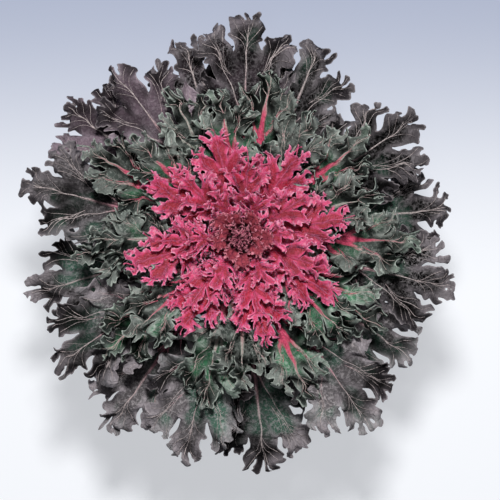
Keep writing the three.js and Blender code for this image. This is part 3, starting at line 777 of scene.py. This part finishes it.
def add_leaf(mesh, plan):
    """One leaf: a thin closed blade, its stalk and midrib, and the veins to lobes and fingers."""
    plan.paths = vein_paths(plan)
    flat = blade_fields(plan)
    space = shape_in_space(plan, flat)
    normal_grid = unit(np.cross(np.gradient(space, axis=0), np.gradient(space, axis=1)))
    x, y, quads, triangles, border = cut_out(plan, flat)
    points = sample(flat, space, x, y)
    normals = surface_normals(points, quads, triangles)
    count = len(points)
    rim = np.stack([border[:, 0], border[:, 0] + count, border[:, 1] + count, border[:, 1]], -1)
    half = BLADE_THICKNESS / 2

    def on_both_faces(grid):
        return np.tile(sample(flat, grid, x, y), 2)

    def strand(path, width, top, depth, sides, **values):
        middle, normal = sample(flat, space, *path), sample(flat, normal_grid, *path)
        add_strand(mesh, middle, normal, width, top, depth, sides, tint=plan.tint, **values)

    mesh.add(
        np.concatenate([points + half * normals, points - half * normals]),
        quads=np.concatenate([quads, quads[:, ::-1] + count, rim]),
        triangles=np.concatenate([triangles, triangles[:, ::-1] + count]),
        flat=np.tile(np.stack([x, y, np.full(count, SEED_SHIFT * plan.seed)], -1), (2, 1)),
        reach=np.tile(x / plan.length, 2),
        out=on_both_faces(flat.share),
        edge=on_both_faces(-flat.field),
        rib=on_both_faces(flat.rib),
        tip=np.exp(-((on_both_faces(flat.tips) / (2.2 * plan.tooth_radius)) ** 2)),
        high=on_both_faces(flat.high),
        under=np.repeat([0.0, 1.0], count),
        tint=plan.tint,
        bloom=plan.bloom,
    )

    share = np.linspace(0, MIDRIB_END, 72)
    width = mix(plan.petiole_half * 0.6, 0.28, (share / MIDRIB_END) ** 0.6)
    depth = 0.95 * mix(plan.rib, plan.rib_tip, np.clip(share / 0.8, 0, 1))
    midrib = share * plan.length, 0 * share
    strand(midrib, width, VEIN_RISE + 0.5 * width, depth, 6, stalk=1.0, reach=share)
    for path, begin, end, sides in plan.paths if plan.veins else []:
        outside = sample(flat, flat.field, *path.T) > -0.3
        if outside.any():
            path = path[:np.argmax(outside)]
        if len(path) < 3:
            continue
        path, far = even_steps(path)
        width = mix(begin, end, far**0.7)
        strand(
            path.T, width, half + VEIN_RISE + 0.55 * width, half + 0.9 * width, sides,
            stalk=mix(0.8, 0.22, far), reach=path[:, 0] / plan.length, out=far,
        )


# ---- materials ----


def srgb(code):
    """A colour given as six hexadecimal digits, as linear red, green, blue, alpha."""
    parts = [int(code[i:i + 2], 16) / 255 for i in (0, 2, 4)]
    return tuple(c / 12.92 if c <= 0.04045 else ((c + 0.055) / 1.055) ** 2.4 for c in parts) + (1.0,)


class Shader:
    """A material's nodes, written as expressions on sockets. A colour may be given as its code."""

    def __init__(self, name):
        self.material = bpy.data.materials.new(name)
        self.material.use_nodes = True
        self.tree = self.material.node_tree
        self.surface = self.tree.nodes["Principled BSDF"]

    def node(self, kind, inputs, **settings):
        """A new node: its inputs by name or number, and what else is set on it."""
        made = self.tree.nodes.new(kind)
        for key, value in settings.items():
            setattr(made, key, value)
        for key, value in inputs.items():
            self.feed(made.inputs[key], value)
        return made

    def feed(self, socket, value):
        if isinstance(value, bpy.types.NodeSocket):
            self.tree.links.new(value, socket)
        else:
            socket.default_value = srgb(value) if isinstance(value, str) else value

    def value(self, name):
        return self.node("ShaderNodeAttribute", {}, attribute_name=name).outputs["Fac"]

    def vector(self, name):
        return self.node("ShaderNodeAttribute", {}, attribute_name=name).outputs["Vector"]

    def split(self, vector):
        return self.node("ShaderNodeSeparateXYZ", {0: vector}).outputs

    def math(self, operation, a, b=0.0):
        return self.node("ShaderNodeMath", {0: a, 1: b}, operation=operation).outputs[0]

    def add(self, a, b):
        return self.math("ADD", a, b)

    def less(self, a, b):
        return self.math("SUBTRACT", a, b)

    def times(self, a, b):
        return self.math("MULTIPLY", a, b)

    def ease(self, value, low, high, start=0.0, end=1.0):
        """From start to end as the value goes from low to high."""
        inputs = {0: value, 1: low, 2: high, 3: start, 4: end}
        return self.node("ShaderNodeMapRange", inputs, interpolation_type="SMOOTHSTEP").outputs[0]

    def blend(self, amount, a, b, mode="MIX"):
        inputs = {0: amount, 6: a, 7: b}
        return self.node("ShaderNodeMix", inputs, data_type="RGBA", blend_type=mode).outputs[2]

    def noise(self, vector, scale, detail, roughness=0.55, stretch=None):
        if stretch is not None:
            stretched = {0: vector, 1: stretch}
            vector = self.node("ShaderNodeVectorMath", stretched, operation="MULTIPLY").outputs[0]
        inputs = {"Vector": vector, "Scale": scale, "Detail": detail, "Roughness": roughness}
        return self.node("ShaderNodeTexNoise", inputs).outputs["Fac"]

    def cells(self, vector, scale):
        inputs = {"Vector": vector, "Scale": scale}
        return self.node("ShaderNodeTexVoronoi", inputs, feature="DISTANCE_TO_EDGE").outputs["Distance"]

    def bump(self, height, distance):
        inputs = {"Strength": 1.0, "Distance": distance, "Height": height}
        return self.node("ShaderNodeBump", inputs).outputs["Normal"]

    def finish(self, color, roughness, specular, **others):
        """Feeds the surface, others by their names with _ for a space, and gives the material."""
        inputs = {"Base Color": color, "Roughness": roughness, "Specular IOR Level": specular}
        inputs.update({"Subsurface Scale": 2 * MM, "Subsurface Radius": (1.0, 0.3, 0.35)})
        inputs.update({key.replace("_", " "): value for key, value in others.items()})
        for key, value in inputs.items():
            self.feed(self.surface.inputs[key], value)
        return self.material


VIOLET = "917c8b"


def leaf_material(name, look):
    """A waxy leaf: mottled blade, a flush of colour from the base, veins, stalk and margin."""
    s = Shader(name)
    flat = s.vector("flat")
    reach, out, edge, rib, tint = (s.value(key) for key in ("reach", "out", "edge", "rib", "tint"))

    # The blade: its tone in broad fields, patches of another colour, mottling and a net of fine veins.
    broad = s.noise(flat, 0.035, 3.0)
    fine = s.noise(flat, 0.42, 4.0, 0.62)
    tone = s.add(broad, s.times(s.less(tint, 0.3), look.uneven))
    tone = s.add(tone, s.times(s.noise(flat, 0.16, 2.0), 0.7))
    color = s.blend(s.ease(tone, 0.72, 0.98), look.deep, look.blade)
    patch = s.add(s.noise(flat, 0.022, 2.0), s.times(tint, look.patch_tint))
    patch = s.less(patch, s.times(out, look.patch_in))
    color = s.blend(s.ease(patch, *look.patch_range), color, look.patch)
    color = s.blend(s.ease(fine, 0.48, 0.62, 0.0, look.mottle), color, look.light)
    net = s.ease(s.cells(flat, 0.3), 0.02, 0.1, 1.0, 0.0)
    color = s.blend(s.times(net, look.network), color, look.light)

    # Its colour by place: near the plant's middle, a painted shade on the dark, green and heart leaves; at
    # the rim; and in the hollows, a painted shade.
    inner = s.add(reach, s.times(s.less(broad, 0.5), look.drift))
    base = s.add(inner, s.times(out, look.spread))
    # Painted shade: near the middle the dark, green and heart leaves go near-black, where the leaves above
    # cover them.
    core = s.blend(s.ease(reach, *look.core_range, 1.0, 0.0), look.base, look.core)
    color = s.blend(s.ease(base, *look.inner, 1.0, 0.0), color, core)
    color = s.blend(s.ease(edge, look.rim_width, 0.3, 0.0, look.rim), color, look.outer)
    violet = s.ease(s.less(tint, s.times(broad, 0.2)), -0.2, -0.1, 0.55, 0.0)
    color = s.blend(violet, color, VIOLET)
    # Partly painted light: each leaf is lightened or darkened as a whole, partly its own tone, mostly darker
    # towards the key light and lighter away from it.
    color = s.blend(1.0, color, s.add(s.value("bloom"), 1.0), "MULTIPLY")
    # Painted shade in the hollows: the low parts of each leaf's relief take the core's colour.
    color = s.blend(s.ease(s.value("high"), -0.8, 0.9, look.sunk, 0.0), color, core)

    # The veins, and the flush that bleeds from them into the blade.
    flush = s.less(inner, s.times(s.ease(tint, 0.3, 0.7), look.vary))
    flush = s.add(flush, s.times(out, 0.5))
    vein_color = s.blend(s.ease(flush, *look.flush, 1.0, 0.0), look.vein, look.stalk)
    streak = s.noise(flat, 0.5, 2.0, stretch=(0.15, 2.0, 1.0))
    spread = s.math("DIVIDE", rib, s.ease(reach, 0.3, 1.0, 1.5, 0.4))
    spread = s.add(spread, s.times(s.less(streak, 0.5), 2.4))
    bleed = s.times(s.ease(tint, 0.7, 0.8, look.bleed, look.feather), s.ease(out, 0.0, 0.7, 1.0, 0.15))
    color = s.blend(s.ease(spread, s.times(bleed, 0.4), bleed, look.soak, 0.0), color, vein_color)
    stalk = s.value("stalk")
    stalk_color = s.blend(s.ease(streak, 0.35, 0.7, 0.0, 0.5), vein_color, look.streak)
    color = s.blend(s.ease(stalk, 0.05, 0.4), color, stalk_color)

    # The teeth, the margin of the blade alone, and the underside.
    color = s.blend(s.times(s.value("tip"), look.tipped), color, look.tip)
    margin = s.ease(edge, *look.edge_width, look.edge_strength, 0.0)
    color = s.blend(s.times(margin, s.ease(stalk, 0.0, 0.1, 1.0, 0.0)), color, look.edge)
    color = s.blend(s.times(s.value("under"), look.under), color, look.back)

    normal = s.bump(s.add(s.times(net, 0.4), s.times(fine, 0.8)), 1.2 * MM)
    roughness = s.ease(fine, 0.3, 0.7, look.roughness - 0.08, look.roughness + 0.1)
    return s.finish(color, roughness, look.specular, Normal=normal, Subsurface_Weight=look.soft)


LEAF_SLOTS = ("dark_leaf", "green_leaf", "pink_leaf", "heart_leaf")
LEAF_LOOKS = dict(  # one column for each slot; a range is where one colour gives way to the next
    deep=("050505", "050807", "a03446", "0e0206"),  # the blade's darkest, middle and lightest tones
    blade=("5a5659", "4b534f", "ae3048", "240810"),
    light=("c2bcc0", "b4bab5", "ca5878", "682a3e"),
    uneven=(0.85, 0.4, 0.3, 0.0),  # how far a leaf's tint shifts its tone
    mottle=(0.36, 0.38, 0.4, 0.4),  # how far the lightest tone shows in fine mottling
    network=(0.16, 0.2, 0.1, 0.1),  # how clearly the fine veins show
    patch=("446356", "3f7455", "9e3c48", "a44654"),
    patch_range=((0.52, 0.64), (0.58, 0.7), (0.42, 0.56), (0.7, 0.8)),
    patch_in=(0.1, 0.05, 0.2, 0.0),  # more patches towards the midrib
    patch_tint=(0.2, 0.17, 0.3, 0.5),  # more patches on leaves of a high tint
    # On the dark, green and heart leaves the base and core colours are near-black, a painted shade where the
    # leaves above cover them; the green leaves' crimson core is partly their own flush and partly painted
    # light, the crimson that the pink leaves above let through.
    base=("030303", "020303", "aa384c", "030001"),  # at the stalk, then the core further out
    core=("030303", "863446", "a6384c", "030001"),
    core_range=((0.1, 0.2), (0.36, 0.5), (0.3, 0.5), (0.3, 0.5)),
    inner=((0.46, 0.66), (0.46, 0.7), (0.25, 0.6), (0.46, 0.58)),  # from the core to the blade, where the painted shade ends
    drift=(0.3, 0.3, 0.3, 0.1),  # how unevenly it does so
    spread=(0.1, 0.1, 0.0, 0.0),  # how much sooner at the margin
    sunk=(0.95, 0.96, 0.12, 0.3),  # how far the hollows take the core's colour, a painted shade
    outer=("968f95", "868b87", "de5c8a", "5e2038"),  # towards the margin
    rim=(0.7, 0.7, 0.82, 0.3),
    rim_width=(7.0, 4.0, 3.2, 1.2),
    vein=("b4aaaa", "a6a8a0", "cc587c", "8e3a56"),  # further out, at the root, and in streaks
    stalk=("b4607a", "cc4a6c", "b43a5a", "6c2236"),
    streak=("b4a4a6", "cc8496", "ca6684", "92485a"),
    flush=((0.42, 0.78), (0.1, 0.35), (0.3, 0.8), (0.3, 0.8)),  # from the stalk's colour to the veins'
    vary=(0.1, 0.58, 0.25, 0.2),  # how much further out on leaves of a high tint
    bleed=(1.0, 1.4, 1.2, 1.0),  # the reach of that colour into the blade, then on flushed leaves
    feather=(1.0, 2.2, 1.2, 1.0),
    soak=(0.4, 0.85, 0.4, 0.4),
    tip=("544e54", "6c7874", "fab8cc", "f0a0b2"),  # the teeth
    tipped=(0.3, 0.3, 0.6, 0.75),
    edge=("a8a0a4", "bcc6be", "f0a0bc", "e88aa0"),  # a pale line along the margin
    edge_strength=(0.4, 0.6, 0.38, 0.5),
    edge_width=((0.15, 0.6), (0.08, 0.4), (0.12, 0.5), (0.05, 0.25)),
    back=("3c3a3e", "46524e", "b4385a", "340a18"),  # the underside
    under=(0.5, 0.5, 0.4, 0.4),
    roughness=(0.6, 0.6, 0.7, 0.6),
    specular=(0.03, 0.03, 0.1, 0.1),
    soft=(0.0, 0.0, 0.6, 0.0),
)


def stem_material():
    """Grey-brown bark with a fine grain, darker in the scars."""
    s = Shader("stem")
    flat = s.vector("flat")
    grain = s.noise(flat, 0.5, 4.0, 0.6, stretch=(1.0, 1.0, 0.25))
    patch = s.noise(flat, 0.1, 2.0)
    color = s.blend(s.ease(patch, 0.35, 0.65), "8a7468", "8f8f74")
    color = s.blend(s.ease(grain, 0.4, 0.7, 0.0, 0.6), color, "b8a594")
    color = s.blend(s.value("out"), color, "6a5148")
    normal = s.bump(grain, 0.8 * MM)
    return s.finish(color, s.ease(grain, 0.3, 0.7, 0.65, 0.85), 0.3, Normal=normal)


def soil_material():
    """Dark compost with paler flecks, and its white grains."""
    s = Shader("soil")
    flat = s.vector("flat")
    crumb = s.noise(flat, 0.9, 5.0, 0.7)
    fleck = s.noise(flat, 0.2, 3.0)
    color = s.blend(s.ease(crumb, 0.35, 0.7), "1c1410", "44342a")
    color = s.blend(s.ease(fleck, 0.5, 0.8, 0.0, 0.5), color, "5c4838")
    color = s.blend(s.value("out"), color, "d8d4ca")
    normal = s.bump(crumb, 1.2 * MM)
    return s.finish(color, s.ease(crumb, 0.3, 0.7, 0.85, 0.98), 0.2, Normal=normal)


def pot_material():
    """Satin black plastic, dusty in places and soiled round its foot."""
    s = Shader("pot")
    flat = s.vector("flat")
    grain = s.noise(flat, 1.6, 3.0, 0.6)
    dust = s.noise(flat, 0.05, 4.0, 0.6)
    foot = s.ease(s.split(flat)["Z"], POT_SOILED, 0.0, 0.0, 0.35)
    color = s.blend(s.ease(dust, 0.45, 0.75, 0.0, 0.5), "222324", "3a3936")
    color = s.blend(foot, color, "57504a")
    normal = s.bump(grain, 0.15 * MM)
    return s.finish(color, s.ease(dust, 0.3, 0.8, 0.38, 0.62), 0.45, Normal=normal)


# ---- the leaves ----

materials = {}
for column, slot in enumerate(LEAF_SLOTS):
    look = {key: choices[column] for key, choices in LEAF_LOOKS.items()}
    materials[slot] = leaf_material(slot, SimpleNamespace(**look))

for layer, whorl in enumerate(WHORLS, 1):
    attach_radius = stem_radius(whorl["attach_z"] - ROOT_DROP)
    for i, leaf in enumerate(whorl["leaves"]):
        mesh = Mesh()
        add_leaf(mesh, leaf_plan(whorl, attach_radius, 100 * layer + i, *leaf))
        node = f"{whorl['name']}_{i + 1:02d}"
        mesh.make(f"{node}_fine", materials[whorl["slot"]], node)


def turned(mesh, profile, sides, bend=None, **values):
    """A closed solid of revolution from [radius, height] points that start and end on the axis.

    `bend` takes the rings' radii, heights and turns, and gives the first two anew with more values.
    """
    turn = 2 * math.pi * np.arange(sides) / sides
    rings = np.array(profile[1:-1], float)
    around, high = np.repeat(rings[:, :1], sides, 1), np.repeat(rings[:, 1:], sides, 1)
    if bend is not None:
        around, high, own = bend(around, high, turn)
        values.update(own)
    rings = np.stack([around * np.cos(turn), around * np.sin(turn), high], -1)
    add_tube(mesh, rings, [[0, 0, profile[0][1]], [0, 0, profile[-1][1]]], **values)


def make_heart():
    """The growing tip: many small furled leaves round a short core."""
    foot_z, top_z, root_depth = HEART["foot_z"], HEART["core_top"], HEART["root_depth"]
    foot_radius, top_radius = HEART["core_radius"], HEART["core_top_radius"]
    mesh = Mesh()
    core = [
        (0, foot_z), (foot_radius, foot_z), (foot_radius * 0.9, mix(foot_z, top_z, 0.4)),
        (top_radius, top_z - 2), (0, top_z),
    ]
    turned(mesh, core, 24, reach=0.3, tint=0.5)
    number = 0
    for count, tint, *ranges, fine in HEART["rings"]:
        for i in range(count):
            length, half_width, start, end, attach_z = (mix(*ends, i / (count - 1)) for ends in ranges)
            radius = mix(foot_radius, top_radius, (attach_z - foot_z) / (top_z - foot_z)) - root_depth
            first, final = math.radians(start), math.radians(end)
            root = radius + SEAT_GAP + SOLID_THICKNESS / 2 * math.sin(first)
            reach = root + length / (final - first) * (math.sin(final) - math.sin(first))
            kind = dict(HEART_LEAF, **fine, nominal=reach, half_width=half_width, attach_z=attach_z)
            kind.update(start=start, end=end)
            heading = number * GOLDEN_ANGLE
            add_leaf(mesh, leaf_plan(kind, radius, HEART_SEEDS + number, heading, reach, tint))
            number += 1
    mesh.make("heart_leaves", materials["heart_leaf"], "heart")


make_heart()

# ---- stem, soil and pot ----


def make_stem():
    """The woody stem, with the scars of fallen leaves below the rosette."""
    scars = [(SCARS_Z + 1.9 * i, math.radians(GOLDEN_ANGLE * i)) for i in range(11)]
    profile = [(0, STEM_FOOT_Z)]
    for z in (63, 64, 70, 76, *np.linspace(81, STEM_TOP_Z, 90)):
        foot_radius = mix(7, 11.5, (z - STEM_FOOT_Z) / 18)
        profile.append((foot_radius if z < 81 else min(stem_radius(z), STEM_COLLAR_RADIUS), z))
    profile.append((0, STEM_TOP_Z))

    def bend(around, high, turn):
        mark = np.zeros_like(around)
        for z, heading in scars:
            across = (turn - heading + math.pi) % (2 * math.pi) - math.pi
            far = np.hypot(across * around / SCAR_WIDTH, (high - z) / SCAR_HEIGHT)
            mark += np.exp(-((far - 1) ** 2) / 0.08) * 0.5 - np.exp(-(far**2) / 0.5) * 0.35
        wander = 0.25 * np.sin(5 * turn + high * 0.07)
        return around + 0.9 * mark + wander - 0.4, high, dict(out=np.clip(mark, 0, 1))

    mesh = Mesh()
    turned(mesh, profile, 64, bend)
    mesh.make("stem_scarred", stem_material(), "stem")


def make_soil():
    """Potting soil: a lumpy surface strewn with crumbs and a few white grains."""
    random = np.random.RandomState(SOIL_SEED)
    outer, hole, bottom = 57.0, STEM_COLLAR_RADIUS + SEAT_GAP, POT["floor"] + SEAT_GAP
    profile = [(0, bottom), (42.5, bottom), (outer, 88), (outer, SOIL_TOP)]
    profile += [(radius, SOIL_TOP + 1.2) for radius in np.linspace(outer - 1, hole, 34)]
    profile += [(hole, 62), (0, 62)]

    def bend(around, high, turn):
        across, along = 0.11 * around * np.cos(turn), 0.11 * around * np.sin(turn)
        lumps = [noise.fractal((x, y, 3.0), 0.7, 2.2, 4) for x, y in zip(across.flat, along.flat)]
        free = (high > SOIL_TOP + 0.5) & (around > hole + 0.5)
        return around, high + np.where(free, 1.1 * np.reshape(lumps, high.shape), 0), {}

    mesh = Mesh()
    turned(mesh, profile, 120, bend)
    ball = icosahedron()
    nearest, furthest = 15.5, 55
    for i in range(CRUMBS):
        radius = math.sqrt(random.uniform(nearest**2, furthest**2))
        turn = random.uniform(0, 2 * math.pi)
        size = random.uniform(0.5, 1.7)
        crumb = ball * size * random.uniform(0.6, 1.25, ball.shape)
        spot = [radius * math.cos(turn), radius * math.sin(turn), SOIL_TOP + 1.3 + 0.3 * size]
        white = i % 9 == 0
        mesh.add(crumb + spot, triangles=ICOSAHEDRON_FACES, out=1.0 if white else 0.0)
    mesh.make("soil_crumbs", soil_material(), "soil")


ICOSAHEDRON_FACES = [
    (0, 11, 5), (0, 5, 1), (0, 1, 7), (0, 7, 10), (0, 10, 11), (1, 5, 9), (5, 11, 4), (11, 10, 2),
    (10, 7, 6), (7, 1, 8), (3, 9, 4), (3, 4, 2), (3, 2, 6), (3, 6, 8), (3, 8, 9), (4, 9, 5),
    (2, 4, 11), (6, 2, 10), (8, 6, 7), (9, 8, 1),
]


def icosahedron():
    """The twelve corners of an icosahedron of radius 1."""
    g = (1 + math.sqrt(5)) / 2
    corners = [np.roll([a, b, 0], k) for k in range(3) for a, b in ((-1, g), (1, g), (-1, -g), (1, -g))]
    return np.array(corners) / math.hypot(1, g)


def arc(x, z, radius, start, end, steps=6):
    """Points of a rounded edge in a profile, from one angle to another in degrees."""
    turns = np.radians(np.linspace(start, end, steps))
    return [(x + radius * math.cos(a), z + radius * math.sin(a)) for a in turns]


def make_pot():
    """A moulded nursery pot with a rolled lip, a rim band and drain holes."""
    base, shoulder, rim, lip = POT["base_radius"], POT["shoulder_radius"], POT["rim_radius"], POT["lip"]
    wall, floor, high = POT["wall"], POT["floor"], POT["height"]
    band = high - POT["rim_height"]

    profile = [(0, 0), (base - 8, 0), (base - 7, 0.6), (base - 6, 0)]
    profile += arc(base - 2, 2, 2, -90, -8)
    for i in range(1, 24):
        z = mix(4, band - 2, i / 24)
        rings = 0.35 * math.exp(-((z - 12) ** 2)) + 0.35 * math.exp(-((z - 18) ** 2))
        profile.append((mix(base, shoulder, z / band) + rings, z))
    profile += [(shoulder, band - 0.8), (shoulder + 0.6, band)]
    profile += arc(rim - 2.3, band + 0.8, 0.8, -90, -5, 4)
    profile += [(rim - 0.7, band + 6), (rim - 0.2, high - 3.6), (rim + 0.2, high - 3.1)]
    profile += arc(rim + lip - 1.3, high - 1.5, 1.3, -60, 90, 8)
    profile += arc(rim - wall + 0.9, high - 0.9, 0.9, 90, 180, 5)
    profile += [(rim - wall - 1.5, band + 1.4), (rim - wall - 2.2, band + 0.5)]
    profile += [(shoulder - wall, band - 1), (base - wall, floor), (0, floor)]
    mesh = Mesh()
    turned(mesh, profile, 128)
    piece = mesh.make("pot_moulded", pot_material(), "pot")

    cutters = bpy.data.collections.new("drain_cutters")
    for i in range(POT["drain_holes"]):
        turn = 2 * math.pi * i / POT["drain_holes"]
        away = POT["drain_circle"] * MM
        bpy.ops.mesh.primitive_cylinder_add(
            vertices=32, radius=POT["drain_radius"] * MM, depth=4 * floor * MM,
            location=(away * math.cos(turn), away * math.sin(turn), 0),
        )
        cutters.objects.link(bpy.context.object)
    # The modifier's result becomes the piece's own mesh, so that no cutter is left in the scene.
    cut = piece.modifiers.new("drain_holes", "BOOLEAN")
    cut.operand_type, cut.collection, cut.solver = "COLLECTION", cutters, "EXACT"
    bpy.context.view_layer.update()
    shaped = bpy.data.meshes.new_from_object(piece.evaluated_get(bpy.context.evaluated_depsgraph_get()))
    piece.modifiers.clear()
    piece.data = shaped
    for cutter in list(cutters.objects):
        bpy.data.objects.remove(cutter)
    bpy.data.collections.remove(cutters)
    piece.data.set_sharp_from_angle(angle=math.radians(POT_SHARP))


make_stem()
make_soil()
make_pot()

# ---- floor, light and camera ----

FLOOR_GLOW = 1.19  # the floor glows a little, a painted light which keeps the shadows pale
CONTACT_SHADE = (0.045, 0.13)  # radii between which the glow fades in round the pot's foot, a painted shadow that the pot stands in
FLOOR_SIZE = 40  # wide enough to hide the horizon from low views
FRAME_WIDTH = 0.4  # metres across the picture, at the height of the leaves
FRAME_HEIGHT_Z = 0.15
CAMERA_DISTANCE = 2.2
SENSOR_WIDTH = 36
PICTURE_CENTRE = (0.008, -0.0096)  # the stem stands a little left of and above the centre
LIT_SPOT = (0, 0, 0.12)
SKY_COLOR, SKY_STRENGTH = (0.86, 0.9, 1.0, 1.0), 0.035


def make_floor():
    """A pale studio floor that is bluer at the far side. It glows a little, a painted light, and less round
    the pot's foot, a painted shadow.
    """
    bpy.ops.mesh.primitive_plane_add(size=FLOOR_SIZE)
    floor = bpy.context.object
    floor.name = "studio_floor"
    s = Shader("studio_floor")
    spot = s.split(s.node("ShaderNodeTexCoord", {}).outputs["Object"])
    color = s.blend(s.ease(spot["Y"], -0.06, 0.24), "b0b2b6", "777d8d")
    away = s.math("SQRT", s.add(s.times(spot["X"], spot["X"]), s.times(spot["Y"], spot["Y"])))
    glow = s.blend(s.ease(away, *CONTACT_SHADE), "484a50", color)
    material = s.finish(color, 0.9, 0.1, Emission_Color=glow, Emission_Strength=FLOOR_GLOW)
    floor.data.materials.append(material)


def area_light(name, spot, size, power, color):
    """A round soft light that is aimed at the plant."""
    light = bpy.data.lights.new(name, "AREA")
    light.shape, light.size, light.energy, light.color = "DISK", size, power, color
    made = put_in_scene(name, light)
    made.location = spot
    made.rotation_euler = (Vector(LIT_SPOT) - Vector(spot)).to_track_quat("-Z", "Y").to_euler()


def make_camera():
    """Looks straight down on the rosette, with the top of the picture towards +Y."""
    camera = bpy.data.cameras.new("camera")
    camera.sensor_width = SENSOR_WIDTH
    camera.lens = SENSOR_WIDTH * CAMERA_DISTANCE / FRAME_WIDTH
    made = put_in_scene("camera", camera)
    made.location = (*PICTURE_CENTRE, FRAME_HEIGHT_Z + CAMERA_DISTANCE)
    bpy.context.scene.camera = made


def make_world():
    """A faint, slightly blue light from all round."""
    world = bpy.data.worlds.new("studio")
    bpy.context.scene.world = world
    world.use_nodes = True
    background = world.node_tree.nodes["Background"]
    background.inputs["Color"].default_value = SKY_COLOR
    background.inputs["Strength"].default_value = SKY_STRENGTH


make_floor()
area_light("key", (0.02, 0.6, 1.8), size=0.3, power=36, color=(1.0, 0.99, 0.97))
area_light("fill", (-0.1, -0.1, 3.0), size=0.4, power=5.5, color=(1.0, 1.0, 1.0))
make_camera()
make_world()
bpy.context.scene.view_settings.view_transform = "Standard"
